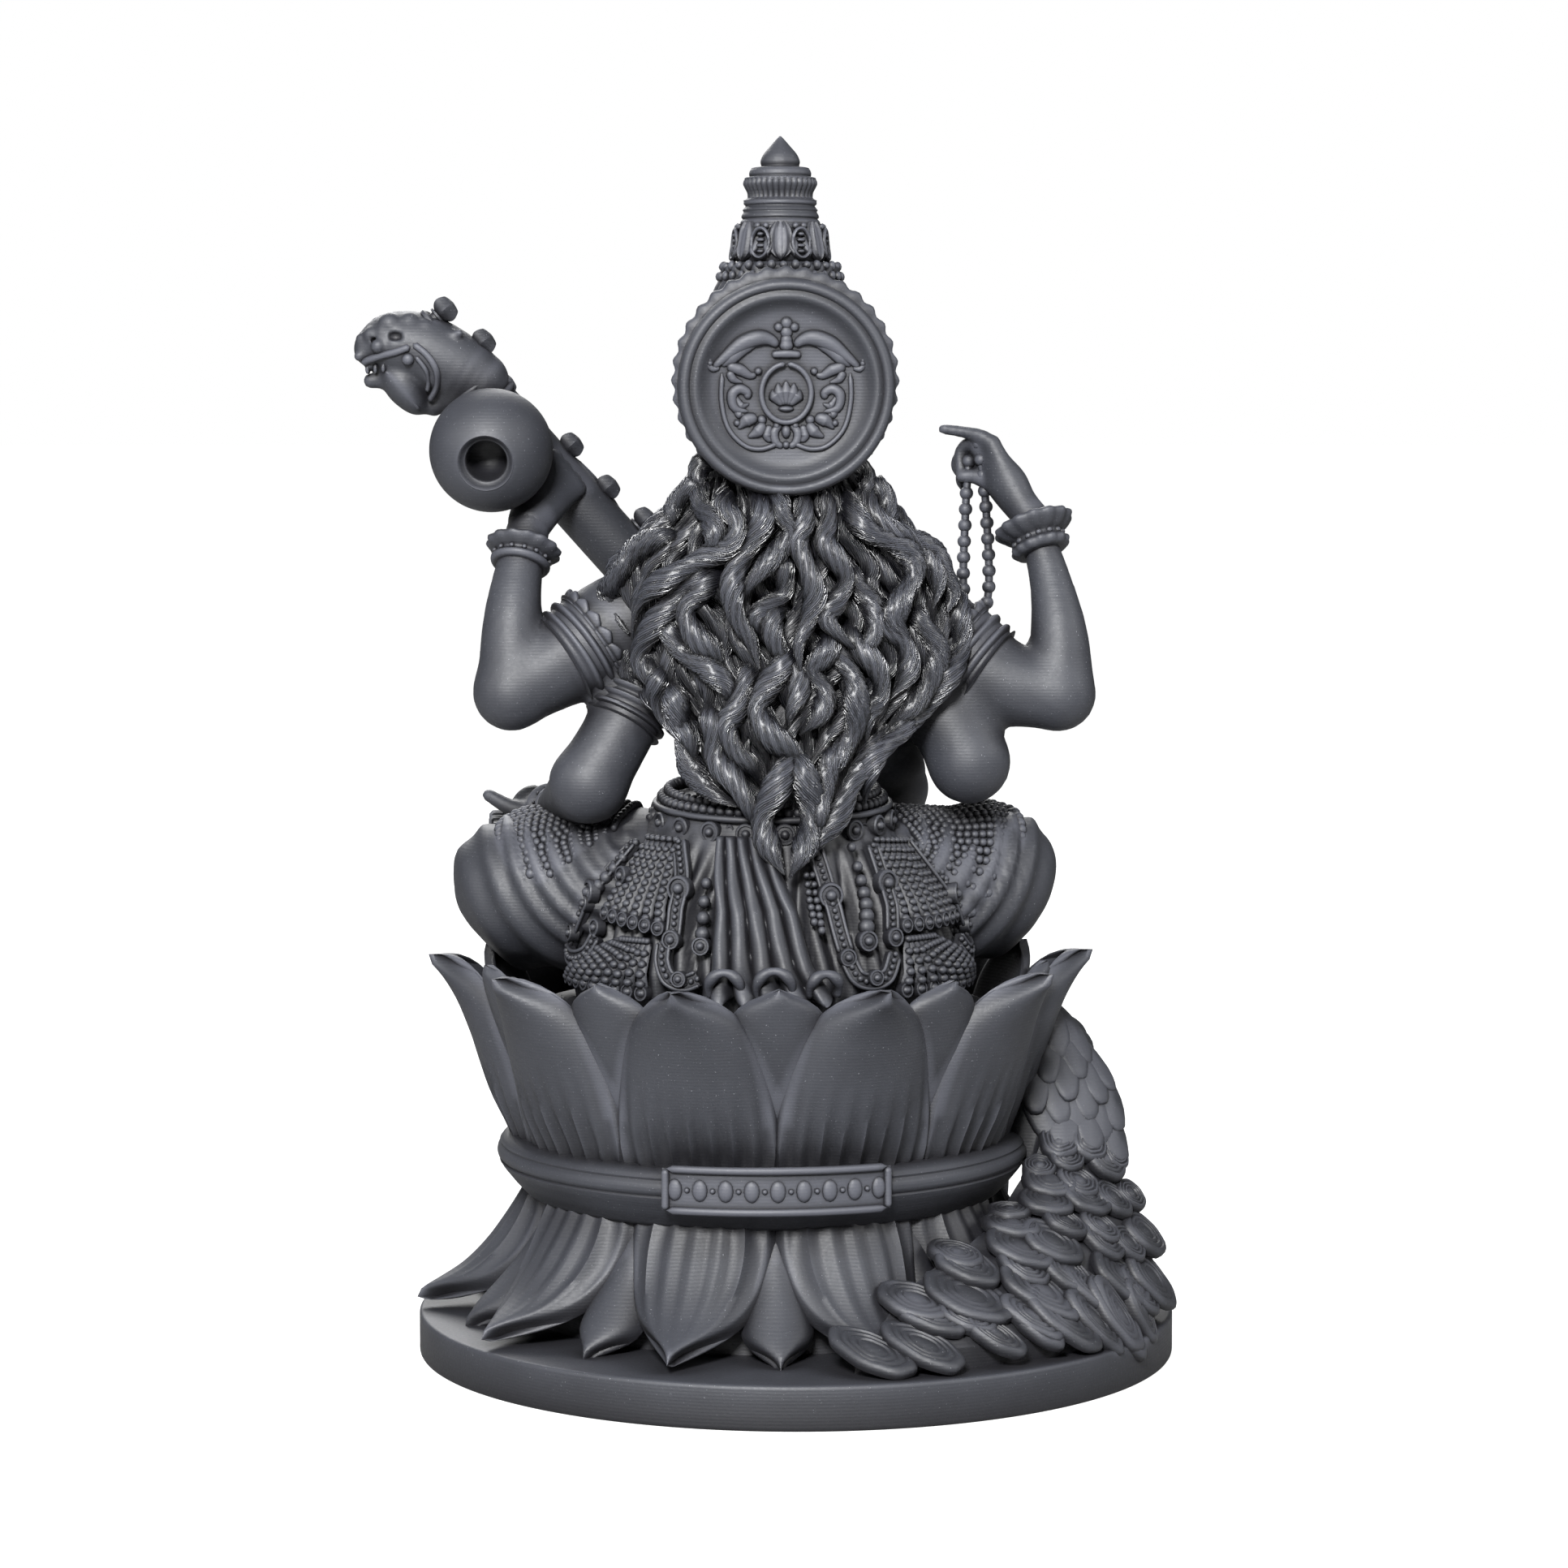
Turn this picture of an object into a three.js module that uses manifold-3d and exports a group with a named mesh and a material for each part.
// Saraswati seated on a double lotus throne, with a vina, a rosary, a book and a peacock,
// printed as one piece. Millimetres, +Z up. The figure faces -Y, and the origin is the centre
// of the round base's underside.

import * as THREE from "three";
import { mergeVertices } from "three/addons/utils/BufferGeometryUtils.js";
import Module from "manifold-3d";

const wasm = await Module();
wasm.setup();

// Driving dimensions
const BASE_RADIUS = 47;
const BASE_THICKNESS = 5.4;
const THRONE_OFFSET = 4.2; // the throne stands this far to the figure's left of the base's centre
const LOWER_TIER_HEIGHT = 19.5; // from the base's top to the middle of the waist ring
const LOWER_TIP_RADIUS = 42.5;
const UPPER_TIER_HEIGHT = 19.1; // from the middle of the waist ring to the seat
const UPPER_TIP_RADIUS = 41.5;
const UPPER_TIP_RISE = 4.9; // the upper petals' tips stand this far above the seat
const RING_RADIUS = 33.1; // the waist ring's outer face
const RING_HEIGHT = 6.6;
const PLATE_WIDTH = 26.3;
const PLATE_HEIGHT = 5.2;
const PLATE_PROUD = 0.9; // the back plate stands this far out of the ring
const PLATE_BORDER = 0.8;
const PLATE_RECESS = 0.5;
const DISC_LEAN = 4; // degrees that the top of the disc behind the head leans forward
const FIGURE_HEIGHT = 106; // from the seat to the crown's tip
const PEACOCK_HEIGHT = 52; // from the base's top to its crest
const PRINT_COLOUR = 0x4b4d52;

// Levels and allowances that follow from them
const ringLevel = BASE_THICKNESS + LOWER_TIER_HEIGHT;
const seatLevel = ringLevel + UPPER_TIER_HEIGHT;
const upperTipLevel = seatLevel + UPPER_TIP_RISE;
const SINK = 0.6; // a form that rests on another is let into it this far

const PETALS = 10; // large petals in each tier of the throne
const PETAL_SAMPLES = 6; // corners of the throne's skin to a petal

// The figure is drawn in units of its height over 106, and the peacock in units of its height over 52
const FIGURE_UNITS = 106;
const PEACOCK_UNITS = 52;

const vector = ([x, y, z]) => new THREE.Vector3(x, y, z);
const lerp = THREE.MathUtils.lerp;
const radians = THREE.MathUtils.degToRad;
const range = (count) => Array.from({ length: count }, (_, i) => i);

// The frames that the forms are drawn in
const partFrame = new THREE.Matrix4();
const throneFrame = new THREE.Matrix4().makeTranslation(THRONE_OFFSET, 0, 0);
const scaled = (unit, x, level) =>
  new THREE.Matrix4().makeScale(unit, unit, unit).setPosition(x, 0, level);
const figureFrame = scaled(FIGURE_HEIGHT / FIGURE_UNITS, THRONE_OFFSET, seatLevel);
const peacockFrame = scaled(PEACOCK_HEIGHT / PEACOCK_UNITS, 0, BASE_THICKNESS);

// A closed geometry as a solid in the part's frame
function solid(geometry, frame) {
  const bare = new THREE.BufferGeometry();
  bare.setAttribute("position", geometry.getAttribute("position").clone());
  bare.setIndex(geometry.getIndex());
  const merged = mergeVertices(bare.applyMatrix4(frame), 1e-4);
  const corners = merged.getIndex().array;
  const faces = [];
  for (let i = 0; i < corners.length; i += 3) {
    const [a, b, c] = corners.slice(i, i + 3);
    if (a !== b && b !== c && c !== a) faces.push(a, b, c);
  }
  const vertProperties = merged.getAttribute("position").array;
  const closed = (triVerts) =>
    new wasm.Manifold(new wasm.Mesh({ numProp: 3, vertProperties, triVerts: new Uint32Array(triVerts) }));
  const made = closed(faces);
  return made.volume() > 0 ? made : closed(faces.reverse());
}

const join = (pieces) => pieces.reduce((whole, piece) => whole.add(piece));

// A solid from rings of corners, closed by a point at each end. Each ring runs anticlockwise
// as seen from the last point.
function skin(rings, firstPole, lastPole, frame) {
  const sides = rings[0].length;
  const points = [...rings.flat(), firstPole, lastPole];
  const index = [];
  const at = (ring, side) => ring * sides + (side % sides);
  for (const j of range(sides)) {
    index.push(points.length - 2, at(0, j + 1), at(0, j));
    index.push(points.length - 1, at(rings.length - 1, j), at(rings.length - 1, j + 1));
    for (const i of range(rings.length - 1)) {
      index.push(at(i, j), at(i, j + 1), at(i + 1, j + 1), at(i, j), at(i + 1, j + 1), at(i + 1, j));
    }
  }
  return solid(new THREE.BufferGeometry().setFromPoints(points).setIndex(index), frame);
}

// A section of few corners is drawn this much larger, to have the area of its oval
const plump = (sides) => Math.sqrt((2 * Math.PI) / sides / Math.sin((2 * Math.PI) / sides));

// A limb with a ring of corners at each row of [x, y, z, half width, half depth]; the depth lies
// towards `facing` and `dome` is how far the ends swell, in half widths
function limb(rows, { frame = figureFrame, sides = 7, facing = [0, 1, 0], dome = 0.5 } = {}) {
  const points = rows.map(vector);
  const last = rows.length - 1;
  const heading = (i) => points[Math.min(i + 1, last)].clone().sub(points[Math.max(i - 1, 0)]).normalize();
  const rings = rows.map(([, , , a, b = a], i) => {
    const side = vector([...facing]).cross(heading(i)).normalize().multiplyScalar(a * plump(sides));
    const depth = heading(i).cross(side).setLength(b * plump(sides));
    return range(sides).map((j) => {
      const turn = (2 * Math.PI * (j + 0.5)) / sides;
      return points[i].clone().addScaledVector(side, Math.cos(turn)).addScaledVector(depth, Math.sin(turn));
    });
  });
  const pole = (i, sign) => points[i].clone().addScaledVector(heading(i), sign * dome * rows[i][3]);
  return skin(rings, pole(0, -1), pole(last, 1), frame);
}

// Rows for a limb, taken along a smooth line through `rows` at stations of [place from 0 to 1,
// thickness]; a jump in thickness between two stations makes a band
function stationed(rows, stations) {
  const path = new THREE.CatmullRomCurve3(rows.map(vector));
  const girth = new THREE.CatmullRomCurve3(rows.map(([, , , a, b = a]) => new THREE.Vector3(a, b, 0)));
  return stations.map(([t, grow = 1]) => {
    const { x: a, y: b } = girth.getPoint(t);
    return [...path.getPoint(t), a * grow, b * grow];
  });
}

const evenly = (steps) => range(steps + 1).map((i) => [i / steps]);

function ball([x, y, z], [a, b, c], { frame = figureFrame, across = 8, down = 6, turn = [0, 0, 0] } = {}) {
  const geometry = new THREE.SphereGeometry(1, across, down).rotateX(Math.PI / 2).scale(a, b, c);
  geometry.scale(plump(across), plump(across), plump(across));
  geometry.applyMatrix4(new THREE.Matrix4().makeRotationFromEuler(new THREE.Euler(...turn.map(radians))));
  return solid(geometry.translate(x, y, z), frame);
}

// A turned form from a profile of [radius, height] that starts and ends on the axis
function turned(profile, segments, frame) {
  const geometry = new THREE.LatheGeometry(profile.map(([r, z]) => new THREE.Vector2(r, z)), segments);
  return solid(geometry.rotateX(Math.PI / 2), frame);
}

// A box bent to shape: `shape(across, along, out)` gives the point for across from -1 to 1,
// along from 0 to 1 and out 0 or 1
function bent(shape, acrossSteps, alongSteps, frame) {
  const geometry = new THREE.BoxGeometry(2, 1, 1, acrossSteps, alongSteps, 1);
  const place = geometry.getAttribute("position");
  for (const i of range(place.count)) {
    place.setXYZ(i, ...shape(place.getX(i), place.getY(i) + 0.5, place.getZ(i) + 0.5));
  }
  return solid(geometry, frame);
}

// A point at an angle round the vertical axis, counted from +Y towards +X
const around = (angle, radius, z) => new THREE.Vector3(radius * Math.sin(angle), radius * Math.cos(angle), z);

function base() {
  const profile = [[0, 0], [BASE_RADIUS, 0], [BASE_RADIUS, BASE_THICKNESS], [0, BASE_THICKNESS]];
  return turned(profile, 60, partFrame);
}

// Profiles of the throne's petals as [share of the tip radius, share of the petal's height]
const LOWER_PROFILE = [[1, 0], [1, 0.15], [0.94, 0.33], [0.82, 0.46], [0.73, 0.68], [0.655, 1]];
const UPPER_PROFILE = [[0.75, 0], [0.822, 0.25], [0.873, 0.55], [0.92, 0.83], [1, 1]];

// How far the skin of the lower tier stands back from each row of its profile, at its corners from
// a large petal's keel to the keel of the small petal beside it
const LOWER_SETBACK = [
  [0, 2.4, 9, 4.6], [0, 2, 8.8, 4.6], [0, 1.3, 8, 6.4], [0, 0.8, 5.6, 7], [0, 0.4, 2.6, 5], [0, 0.2, 1, 1.6],
];

// The same for the upper tier from a petal's keel to the cleft, for its body and its cupped rim,
// and how far the rim falls there
const UPPER_SETBACK = [0, 0.4, 1.8, 3.4];
const UPPER_CUPPING = [0, 2.4, 0.8, 0];
const UPPER_FALL = [0, 0.8, 5, 12.2];

const keelAngle = (petal) => (2 * Math.PI * (petal + 0.5)) / PETALS;

// The radius of a profile at a share of its height
function profileRadius(profile, share) {
  const i = Math.max(1, profile.findIndex(([, z]) => z >= share - 1e-9));
  const [[r0, z0], [r1, z1]] = [profile[i - 1], profile[i]];
  return lerp(r0, r1, (share - z0) / (z1 - z0));
}

// The throne: a lower tier of petals, the waist ring, an upper tier and the seat, as one skin
function throne() {
  const bottomLevel = BASE_THICKNESS - SINK;
  const lowerTop = ringLevel - RING_HEIGHT / 2;
  const upperFoot = ringLevel + RING_HEIGHT / 2;
  const rise = upperTipLevel - upperFoot;
  const ring = (radiusAndLevel) =>
    range(PETALS * PETAL_SAMPLES).map((j) => {
      const corner = Math.min(j % PETAL_SAMPLES, PETAL_SAMPLES - (j % PETAL_SAMPLES));
      return around(-keelAngle(j / PETAL_SAMPLES), ...radiusAndLevel(corner));
    });
  const lower = LOWER_PROFILE.map(([r, z], i) =>
    ring((k) => [r * LOWER_TIP_RADIUS - LOWER_SETBACK[i][k], lerp(bottomLevel, lowerTop, z)]),
  );
  const waist = [[0.966, -0.36], [1, 0], [0.966, 0.36]].map(([r, z]) =>
    ring(() => [r * RING_RADIUS, ringLevel + z * RING_HEIGHT]),
  );
  const upper = UPPER_PROFILE.map(([, z]) =>
    ring((k) => {
      const share = z - (UPPER_FALL[k] / rise) * z * z;
      const radius = profileRadius(UPPER_PROFILE, share) * UPPER_TIP_RADIUS;
      const setback = UPPER_SETBACK[k] * (0.3 + 0.7 * z) + UPPER_CUPPING[k] * z ** 5;
      return [radius - setback, upperFoot + share * rise];
    }),
  );
  const rim = ring((k) => {
    const share = 1 - (UPPER_FALL[k] + 0.3) / rise;
    const radius = profileRadius(UPPER_PROFILE, share) * UPPER_TIP_RADIUS;
    return [radius - UPPER_SETBACK[k] - UPPER_CUPPING[k] - 1.6, upperFoot + share * rise];
  });
  const seat = ring(() => [0.78 * UPPER_TIP_RADIUS, seatLevel - 2]);
  const rings = [...lower, ...waist, ...upper, rim, seat];
  return skin(rings, new THREE.Vector3(0, 0, bottomLevel), new THREE.Vector3(0, 0, seatLevel), throneFrame);
}

// The small upper petals, which stand in the clefts between the large ones
function smallUpperPetals() {
  const foot = [0.74, seatLevel - 8, 5.2, 1];
  const middle = [0.83, seatLevel - 0.5, 4.8, 1];
  const tip = [0.868, upperTipLevel - 0.4, 1, 0.7];
  const petal = (angle) => {
    const row = ([share, z, a, b]) => [...around(angle, share * UPPER_TIP_RADIUS, z), a, b];
    const style = { frame: throneFrame, sides: 4, facing: around(angle, 1, 0), dome: 0.8 };
    return limb([foot, middle, tip].map(row), style);
  };
  return join(range(PETALS).map((k) => petal(keelAngle(k - 0.5))));
}

// The bare plate at the back of the ring, with a raised border
function backPlate() {
  const face = RING_RADIUS + PLATE_PROUD;
  const slab = (width, height, inner, outer) => {
    const shape = (across, along, out) =>
      around((across * width) / 2 / face, lerp(inner, outer, out), ringLevel + (along - 0.5) * height);
    return bent(shape, 4, 1, throneFrame);
  };
  const border = 2 * PLATE_BORDER;
  const recess = slab(PLATE_WIDTH - border, PLATE_HEIGHT - border, face - PLATE_RECESS, face + 1);
  return slab(PLATE_WIDTH, PLATE_HEIGHT, RING_RADIUS - 3, face).subtract(recess);
}

// The body from the hips to the neck
function torso() {
  const rows = [
    [-0.5, 3, 6, 15, 11], [-0.8, 2.5, 21, 12.5, 9], [-0.9, 1.2, 27.5, 9.6, 7],
    [-1.2, 0.3, 36, 11.5, 7.4], [-1.5, 0, 44, 13.2, 7.4], [-1.9, 0.4, 51, 11.5, 6],
    [-2, 0.2, 55.5, 4.8, 4.6], [-2, -0.4, 64, 4.3, 4.3],
  ];
  const bust = [4, -6.6].map((x) => ball([x, -5.6, 41.5], [5.2, 4.8, 5], { across: 7, down: 5 }));
  return join([limb(rows, { sides: 8, dome: 0 }), ...bust]);
}

// The skirt behind and beside the hips, ridged by the straps that hang over it
function skirt() {
  const rows = [[-SINK, 24, 20], [5, 25, 20.4], [13, 22, 17.6], [22, 15.4, 13]];
  const sides = 24;
  const rings = rows.map(([z, a, b], i) =>
    range(sides).map((j) => {
      const turn = (2 * Math.PI * j) / sides;
      const ridge = 1 + (j % 2 ? 0.04 : -0.03) * (1 - i / (rows.length - 1));
      return new THREE.Vector3(-0.7 + a * ridge * Math.cos(turn), 1.4 + b * ridge * Math.sin(turn), z);
    }),
  );
  return skin(rings, new THREE.Vector3(0, 0, -SINK), new THREE.Vector3(0, 0, 22), figureFrame);
}

// The pleated cloth that falls from the belt at the back
function backPleats() {
  const shape = (across, along, out) => {
    const half = lerp(4.2, 7.6, Math.pow(along, 1.5));
    const fold = 0.6 * Math.cos(3 * Math.PI * across) * along;
    const depth = lerp(14.6, 22.4, Math.pow(along, 0.8)) + (out ? 1 + fold : -4);
    return [-0.8 + 1.2 * along + across * half, depth, lerp(22, 0.4, along)];
  };
  return bent(shape, 6, 2, figureFrame);
}

function belt() {
  const rows = [[20.8, 1], [21.4, 1.07], [24, 1.07], [24.8, 0.98]];
  const sides = 16;
  const rings = rows.map(([z, grow]) =>
    range(sides).map((j) => {
      const turn = (2 * Math.PI * j) / sides;
      return new THREE.Vector3(-1.2 + 14.2 * grow * Math.cos(turn), 1.6 + 12.4 * grow * Math.sin(turn), z);
    }),
  );
  return skin(rings, new THREE.Vector3(-1, 0, 19), new THREE.Vector3(-1, 0, 25), figureFrame);
}

function legs() {
  const thigh = (side, ...knee) => {
    const hip = [[5 * side, 1.5, 10, 10.4], [16 * side, -2, 13, 10.6], [24 * side, -4.6, 13.4, 10]];
    return limb([...hip, ...knee], { sides: 8, dome: 0.4 });
  };
  const leftShin = [[30, -10, 8.6, 7.5], [14, -20, 7.5, 6.6], [-1, -25.5, 5.4, 5], [-7, -27, 4.6, 3.8]];
  const rightShin = [[-30, -10, 8.6, 7.5], [-15, -19.5, 7, 6.6], [-3, -22.5, 4.5, 5], [6, -23.5, 3.5, 4]];
  const foot = [[-6, -27, 4.6, 3.6, 2.6], [-10, -27.5, 4, 3.3, 2], [-14.5, -27.5, 3.4, 2.6, 1.4]];
  const up = [0, 0, 1];
  return join([
    thigh(1, [31.4, -6.6, 12.8, 9.2], [35.6, -7.6, 13, 7.2]),
    thigh(-1, [-30.8, -6.4, 13.6, 9.2], [-34.8, -7.6, 14.6, 6.8]),
    limb(leftShin, { facing: up }),
    limb(rightShin, { facing: up }),
    limb(foot, { facing: up, sides: 5 }),
  ]);
}

// The four arms: rows of the upper arm and forearm, and where the armlet and bangle sit on them
const ARMS = [
  { // rear left, raised to the vina's neck
    upper: [[9, 0, 49.4, 6.4], [18, 1, 46.4, 6.1], [24.8, 2.6, 42.2, 5.3], [31.6, 4, 38, 5]],
    fore: [[31.3, 4, 37.6, 4.5], [31.2, 3, 46.5, 3.7], [30.4, 0.6, 52.4, 3], [28.6, -3, 59, 2.9]],
    armlet: [0.5, 0.68], armletGrow: 1.12, bangle: [0.74, 0.84], bangleGrow: 1.5,
  },
  { // rear right, raised with the rosary
    upper: [[-12, 0, 48.4, 6.4], [-22, 1, 44.4, 6.2], [-29.4, 3, 39.2, 5.3], [-36.6, 4, 37.4, 5]],
    fore: [[-37, 4, 37.2, 4.5], [-36.9, 3.2, 45.4, 3.6], [-35.9, 1, 52.4, 2.4], [-34.4, -1.6, 59, 2]],
    armlet: [0.42, 0.6], armletGrow: 1.16, bangle: [0.9, 0.99], bangleGrow: 2.2,
  },
  { // front left, lowered to the knee
    upper: [[12, 0, 45, 5.6], [16.4, 2.4, 37.2, 5.1], [19.4, 4.2, 31.6, 4.8], [21.5, 5, 27.4, 4.8]],
    fore: [[21.6, 4.6, 26.8, 4.8], [23.4, -2.6, 25, 3.6], [25.2, -8, 23, 2.8], [27, -12, 21.8, 2.4]],
    armlet: [0.34, 0.6], armletGrow: 1.1, forward: true,
  },
  { // front right, bent forward to the strings
    upper: [[-13, 0, 45, 5.6], [-19.4, 1.6, 38.6, 5.2], [-22.8, 3, 34.4, 5], [-24.9, 4, 29.8, 4.8]],
    fore: [[-25, 3.6, 29.2, 4.7], [-25.6, -6, 30.4, 3.8], [-23.6, -15, 33, 2.9], [-21, -21, 34, 2.4]],
    armlet: [0.3, 0.5], armletGrow: 1.1, forward: true,
  },
];

function arm({ upper, fore, armlet, armletGrow, bangle, bangleGrow, forward = false }) {
  const edge = 0.01;
  const banded = ([from, to], grow) => [[0], [from], [from + edge, grow], [to - edge, grow], [to], [1]];
  const facing = forward ? [0, 0, 1] : [0, 1, 0];
  return join([
    limb(stationed(upper, banded(armlet, armletGrow)), { sides: 6, dome: 0.7 }),
    limb(stationed(fore, bangle ? banded(bangle, bangleGrow) : evenly(3)), { sides: 6, facing, dome: 0.9 }),
  ]);
}

// A hand: a palm through rows, and fingers that each run through listed points
function hand(palm, fingers, facing) {
  const finger = (points) => {
    const rows = points.map((point, i) => [...point, lerp(1.1, 0.8, i / (points.length - 1))]);
    return limb(rows, { sides: 4, facing });
  };
  return join([limb(palm, { sides: 6, facing }), ...fingers.map(finger)]);
}

function hands() {
  const up = [0, 0, 1];
  const back = [0, 1, 0];
  const rearLeft = hand(
    [[28.6, -3, 58.6, 2.8, 2.2], [27.8, -4.4, 61.6, 3.3, 2.2], [27, -6, 64.2, 3, 1.8]],
    [
      [[24.6, -9, 66.6], [21.4, -12.4, 64.4], [19.4, -11.4, 61.6]],
      [[22.4, -8, 63.4], [19.4, -11.8, 61.4], [17.8, -11, 59]],
    ],
    up,
  );
  const rearRight = hand(
    [[-34, -2.2, 60, 2, 1.7], [-31, -3.5, 64.2, 2.5, 1.8], [-28.2, -4.6, 67.9, 1.8, 1.4]],
    [
      [[-28.2, -4.8, 68.6], [-26.6, -5.4, 69.9], [-23.4, -6, 70.5]],
      [[-27.6, -5, 68.6], [-25, -6.2, 68.4], [-25, -6.4, 66]],
      [[-30, -4.6, 64.2], [-27.6, -6, 65.6], [-25.8, -6.2, 65]],
    ],
    back,
  );
  const frontLeft = hand(
    [[27, -12, 21.8, 2.5, 1.9], [28.6, -16, 21.4, 3.4, 1.6], [29.4, -21, 20.8, 3, 1.2]],
    [[[28.6, -13, 21.6], [31.4, -14, 22.4], [34, -15, 23.6]]],
    [1, 1, 1],
  );
  const frontRight = hand(
    [[-21, -21, 34, 2.4, 1.7], [-18, -25, 34.4, 3.2, 1.6], [-15.2, -28.6, 33.8, 2.8, 1.4]],
    [[[-15.4, -28.6, 33.8], [-12.4, -31, 32.8], [-11, -31.4, 30]]],
    up,
  );
  return join([rearLeft, rearRight, frontLeft, frontRight]);
}

// The palm-leaf book under the front left hand
function book() {
  const shape = (across, along, out) => [30.4 + 3 * across, lerp(-27.5, -14.5, along), lerp(15, 20.6, out)];
  return bent(shape, 1, 1, figureFrame);
}

function head() {
  const skull = ball([-2, -2.4, 71.5], [7.6, 8.6, 10.4], { down: 7 });
  const cap = ball([-2, 0.6, 74.5], [9.2, 9.2, 10.2], { down: 5 });
  const nose = limb([[-2, -10.6, 73, 0.7], [-2, -12, 69.2, 1.3]], { sides: 4 });
  const earring = (side) => ball([-2 + 8.4 * side, -2, 66.6], [2, 1.8, 3.2], { across: 5, down: 4 });
  return join([skull, cap, nose, earring(1), earring(-1)]);
}

function crown() {
  const profile = [
    [0, 76], [8.8, 85], [7.6, 90.2], [5.4, 90.4], [6, 93], [4.8, 96], [4.2, 98.4], [4.8, 100.2],
    [3.8, 101.6], [2.2, 102.1], [2.5, 103.3], [0, 106],
  ];
  const place = new THREE.Matrix4().makeTranslation(-2.2, 0.6, 0);
  return turned(profile, 12, figureFrame.clone().multiply(place));
}

// The round ornament behind the head: a halo plate, then a rimmed bowl with a raised cartouche
function headDisc() {
  const place = new THREE.Matrix4().makeTranslation(-2.2, 0, 76.3);
  const turn = new THREE.Matrix4().makeRotationX(-Math.PI / 2 + radians(DISC_LEAN));
  const frame = figureFrame.clone().multiply(place).multiply(turn);
  const profile = [
    [0, 4], [13.7, 8.2], [13.7, 9.8], [13.2, 10], [13.2, 14.6], [11, 14.8], [8.6, 12.8], [0, 12.8],
  ];
  const wing = (side) => {
    const rows = [[0, 5.4], [3.4, 6.2], [8.2, 3]].map(([x, up]) => [side * x, -up, 12.8, 0.8]);
    return limb(rows, { frame, sides: 4, facing: [0, 0, 1], dome: 0.2 });
  };
  const lotus = ball([0, 0.8, 12.8], [2.6, 3.2, 1.2], { frame, across: 6, down: 4 });
  return join([turned(profile, 24, frame), wing(1), wing(-1), lotus]);
}

// The hair down the back, as rows of [x, y, z, half width, half depth], ridged into wavy locks
const HAIR = [
  [-1.8, 3, 65, 10.6, 8], [-2.2, 4, 60.6, 14, 9], [-1.7, 4.4, 57.4, 18, 9], [-1.7, 4.8, 53.6, 21.2, 9],
  [-3, 5, 47.5, 22, 9], [-4.4, 5.5, 41, 21, 9.4], [-3.4, 6.5, 34, 15.4, 9.4], [-2.2, 8, 26, 11, 8.4],
  [-3.2, 11, 20, 6.4, 5.6], [-3.5, 15, 15.8, 2.4, 2.4],
];

function hair() {
  const sides = 24;
  const rows = stationed(HAIR, evenly(11));
  const rings = rows.map(([x, y, z, a, b], i) =>
    range(sides).map((j) => {
      const wave = 0.08 * Math.sin(1.75 * i + 0.6 * j) * (b > 3 ? 1 : 0);
      const turn = (2 * Math.PI * (j + 0.5)) / sides + wave;
      const ridge = Math.sin(turn) > -0.3 ? (j % 2 ? 0.8 : -0.8) : 0;
      const grow = 1 + ridge / Math.max(a, 6);
      return new THREE.Vector3(x + a * grow * Math.cos(turn), y + (b + ridge) * Math.sin(turn), z);
    }).reverse(),
  );
  return skin(rings, new THREE.Vector3(-2, 2, 67), new THREE.Vector3(-3.5, 16.4, 14.6), figureFrame);
}

// The vina's neck from peg box to foot, and its pegs as [share of the way down, reach off the neck]
const NECK_TOP = [37.8, -8.4, 78.2];
const NECK_FOOT = [-9.6, -18, 24.9];
const PEGS = [[-0.08, 4.4], [0, 5.4], [0.08, 4.4], [0.236, 5], [0.334, 4.9], [0.42, 5.9]];

function vina() {
  const onNeck = (share, left) => {
    const point = vector(NECK_TOP).lerp(vector(NECK_FOOT), share);
    return [point.x - 0.76 * left, point.y, point.z + 0.65 * left];
  };
  const neck = limb([[...NECK_TOP, 3.6], [...NECK_FOOT, 3.6]], { sides: 8, dome: 0 });
  const resonator = ball([-9.6, -19.6, 24.4], [11.4, 11.4, 11.4], { across: 10, down: 6 });
  const gourd = ball([33.3, 0, 67.8], [7.5, 7.5, 7.5], { across: 10, down: 7 });
  const mouth = limb([[33.6, 3, 67, 2.4], [34.2, 9, 65.6, 3.5]], { sides: 8, facing: [0, 0, 1], dome: 0 });
  const pegs = PEGS.map(([share, reach]) => {
    const rows = [[2, 1], [reach - 1.6, 1.5], [reach, 1.1]].map(([out, r]) => [...onNeck(share, out), r]);
    return limb(rows, { sides: 4, dome: 0.3 });
  });
  const pegBox = limb(
    [
      [34.9, -8, 76.3, 3.8], [38, -8, 79, 4.9], [42.7, -8.2, 80, 5.4], [46.8, -8.4, 80.2, 4.9],
      [49.4, -8.4, 80.6, 3.8],
    ],
    { dome: 0.15 },
  );
  const jaw = ball([43.4, -8.2, 76], [4.2, 3.6, 2.9], { across: 7, down: 4, turn: [0, 50, 0] });
  return join([neck, resonator, gourd, ...pegs, pegBox, jaw]).subtract(mouth);
}

// The rosary's string, which hangs from the rear right hand in a loop
function rosary() {
  const points = [
    [-26, -6, 66.4], [-25.4, -5.8, 60], [-25.4, -5.6, 50], [-27, -5.6, 46], [-28.6, -5.6, 50],
    [-28.4, -5.8, 60], [-26.8, -6, 66.2],
  ];
  return limb(points.map((point) => [...point, 0.85]), { sides: 4 });
}

function necklace() {
  const rows = range(7).map((i) => {
    const turn = lerp(-1.9, 1.9, i / 6);
    return [-1.8 + 6.4 * Math.sin(turn), 0.6 - 7.4 * Math.cos(turn), 52 - 3.4 * Math.cos(turn), 1];
  });
  return limb(rows, { sides: 4, facing: [0, 0, 1] });
}

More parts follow.
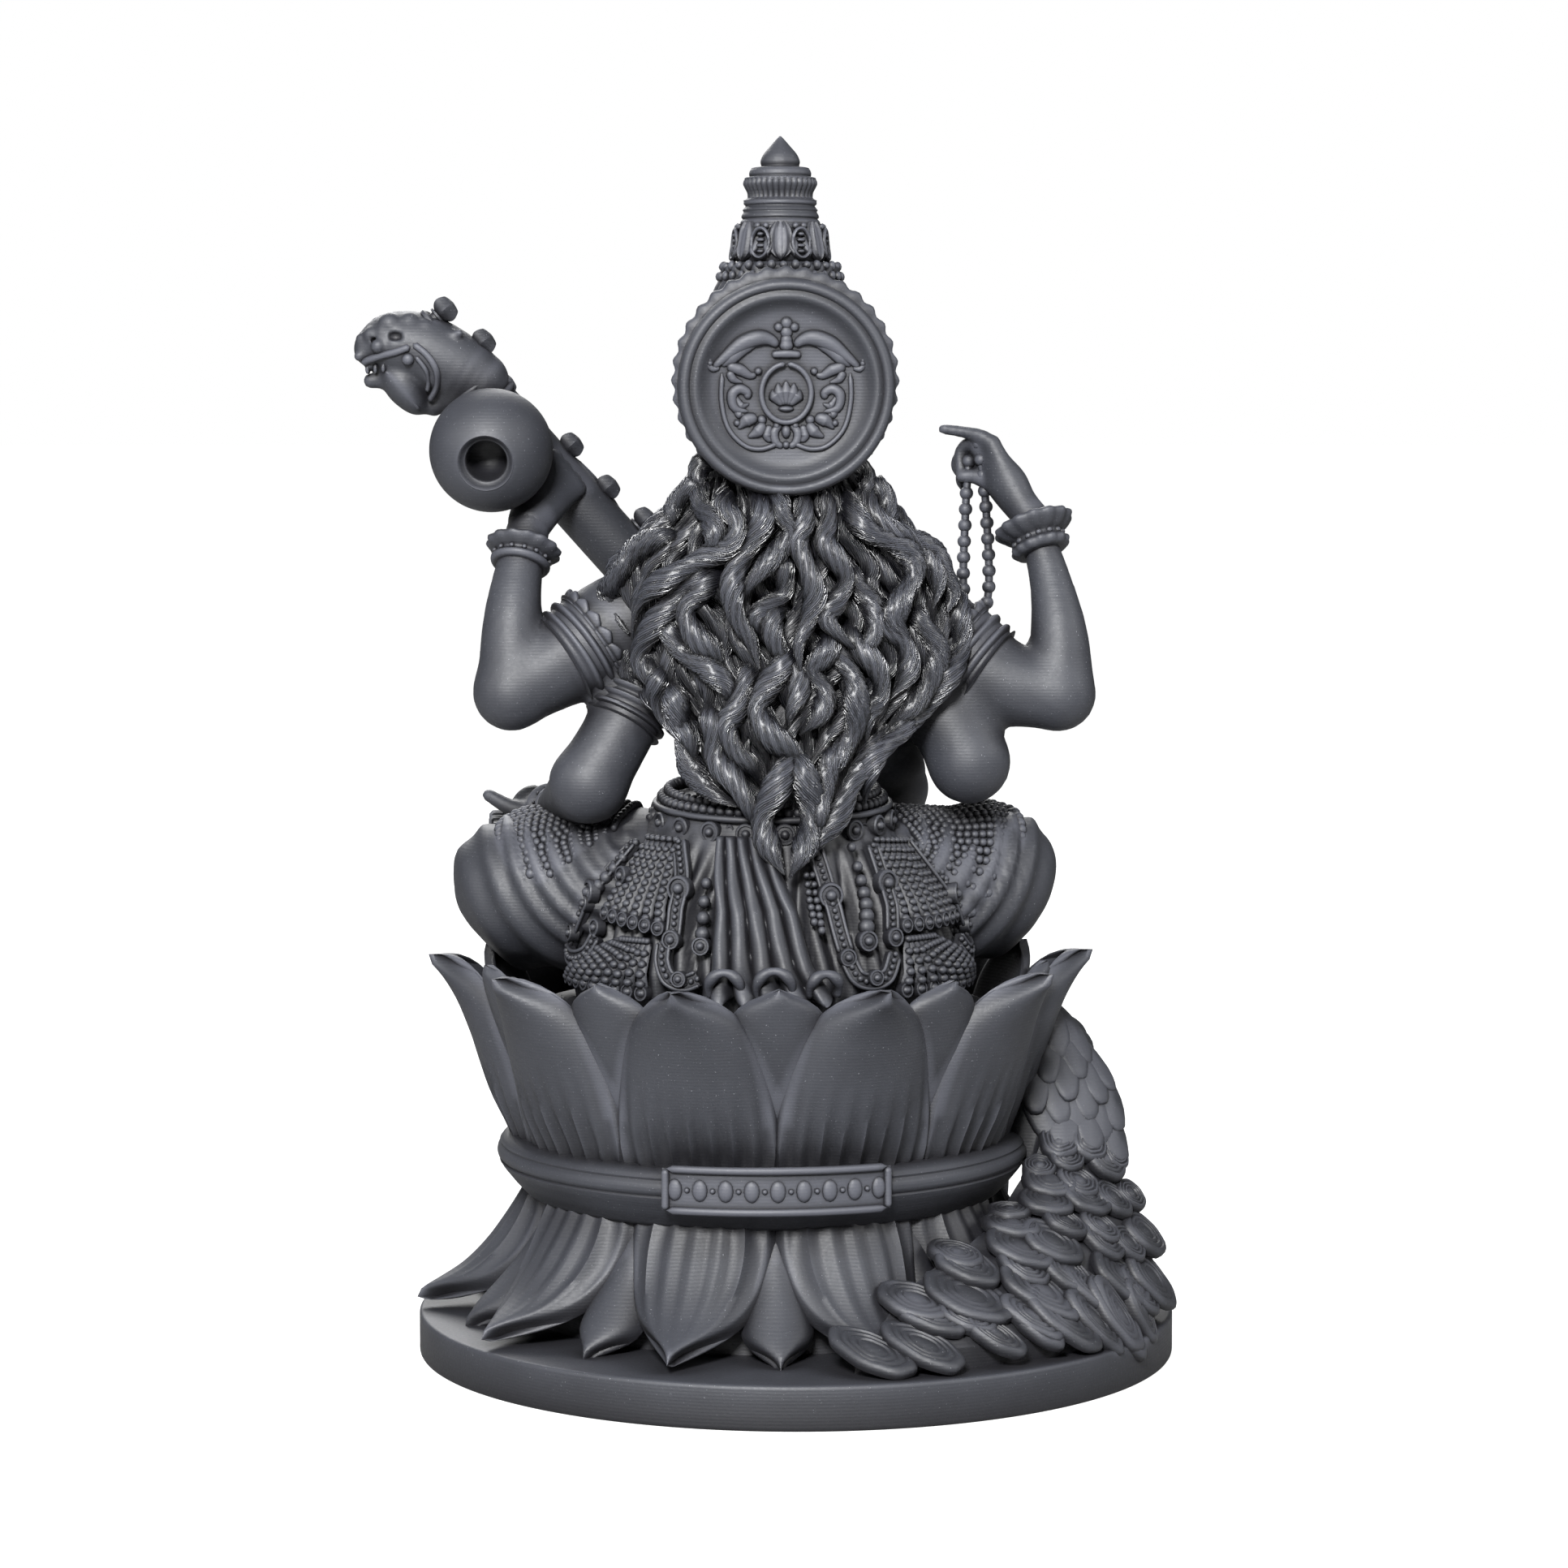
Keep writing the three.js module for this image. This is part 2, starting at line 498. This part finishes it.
// The peacock's train, from the rump to the hem: the inner and outer edges as
// [degrees round from +Y towards -X, radius, height above the base's top]
const TRAIN = [
  { inner: [88, 28, 33], outer: [94.6, 36.6, 32.6] },
  { inner: [79, 28.4, 26.4], outer: [90, 39.6, 26] },
  { inner: [76, 30.6, 21], outer: [85.8, 40.4, 20] },
  { inner: [62, 28.8, 15.6], outer: [81.9, 42, 14.4] },
  { inner: [40, 30.4, 11.6], outer: [78.5, 44.6, 8.8] },
  { inner: [20, 33.4, 8], outer: [75, 46, 3.4] },
  { inner: [6, 41, 2], outer: [64, 46.2, 1] },
];
const FEATHER_ROWS = 7;
const FEATHER_STEP = 1.1; // each row of feathers stands this far off the next

function trainPoint(across, along, lift) {
  const edge = (key) => new THREE.CatmullRomCurve3(TRAIN.map((row) => vector(row[key]))).getPoint(along);
  const { x: degrees, y: radius, z: level } = edge("inner").lerp(edge("outer"), across);
  const arch = 2.2 * Math.sin(Math.PI * across) * (1 - 0.5 * along);
  return around(-radians(degrees), radius + 0.5 * lift, level + arch + lift);
}

function train() {
  const across = 8;
  const section = (along, lift, scallop) => {
    const top = range(across + 1).map((i) => {
      const reach = scallop * (i % 2 ? 0.03 : -0.03);
      return trainPoint(i / across, THREE.MathUtils.clamp(along + reach, 0, 1), lift);
    });
    const under = [1, 0].map((i) => {
      const point = trainPoint(i, along, 0);
      const inward = i ? 1 : lerp(1, 0.88, along);
      const level = Math.max(-SINK, point.z - 2.4 - 12 * along);
      return new THREE.Vector3(point.x * inward, point.y * inward, level);
    });
    return [...top, ...under].reverse();
  };
  const rings = range(FEATHER_ROWS).flatMap((row) => [
    section(row / FEATHER_ROWS, 0, 0),
    section((row + 1) / FEATHER_ROWS, FEATHER_STEP, 1),
  ]);
  const pole = (along, drop) => {
    const point = trainPoint(0.5, along, 0);
    return new THREE.Vector3(point.x, point.y, point.z - drop);
  };
  return skin(rings, pole(0, 2), pole(1, 2), peacockFrame);
}

function peacock() {
  const body = [
    [-33.6, 1, 32, 3.6, 2.8], [-33.2, -8, 29.6, 6, 5], [-32, -18, 28, 6.8, 7], [-30.6, -27.5, 29.4, 5, 5.6],
    [-29.2, -31.6, 37, 3.2, 3.4], [-28.6, -33.4, 44.4, 2.6, 2.8], [-28.6, -35.4, 46.8, 2.2, 2.2],
  ];
  const from = { frame: peacockFrame };
  const beakRows = [[-28.6, -36, 46.6, 1.5], [-28.6, -39.6, 45.2, 0.5]];
  const beak = limb(beakRows, { ...from, sides: 4, facing: [0, 0, 1] });
  const crest = limb(
    [[-28.6, -34, 48, 0.7, 0.5], [-28.6, -33, 50.4, 0.6, 1.9], [-28.6, -32.8, 51.8, 0.6, 1.4]],
    { ...from, sides: 4 },
  );
  const legs = [-36.4, -28].map((x) =>
    limb([[x, -19, 25, 2.2], [x, -22, 10, 1.4], [x, -24, -SINK, 1.8]], { ...from, sides: 4, dome: 0 }),
  );
  return join([limb(body, { ...from, sides: 6, facing: [1, 0, 0] }), beak, crest, ...legs]);
}

const whole = join([
  base(), throne(), smallUpperPetals(), backPlate(), torso(), skirt(), backPleats(), belt(), legs(),
  ...ARMS.map(arm), hands(), book(), head(), crown(), headDisc(), hair(), vina(), rosary(), necklace(),
  train(), peacock(),
]);

function meshOf(name, body) {
  const { vertProperties, triVerts } = body.getMesh();
  const geometry = new THREE.BufferGeometry();
  geometry.setAttribute("position", new THREE.BufferAttribute(vertProperties, 3));
  geometry.setIndex(new THREE.BufferAttribute(triVerts, 1));
  const flat = geometry.toNonIndexed();
  flat.computeVertexNormals();
  const material = new THREE.MeshStandardMaterial({ color: PRINT_COLOUR, roughness: 0.55, metalness: 0.1 });
  const mesh = new THREE.Mesh(flat, material);
  mesh.name = name;
  return mesh;
}

const part = new THREE.Group();
part.add(meshOf("saraswati_figure", whole));

export default part;
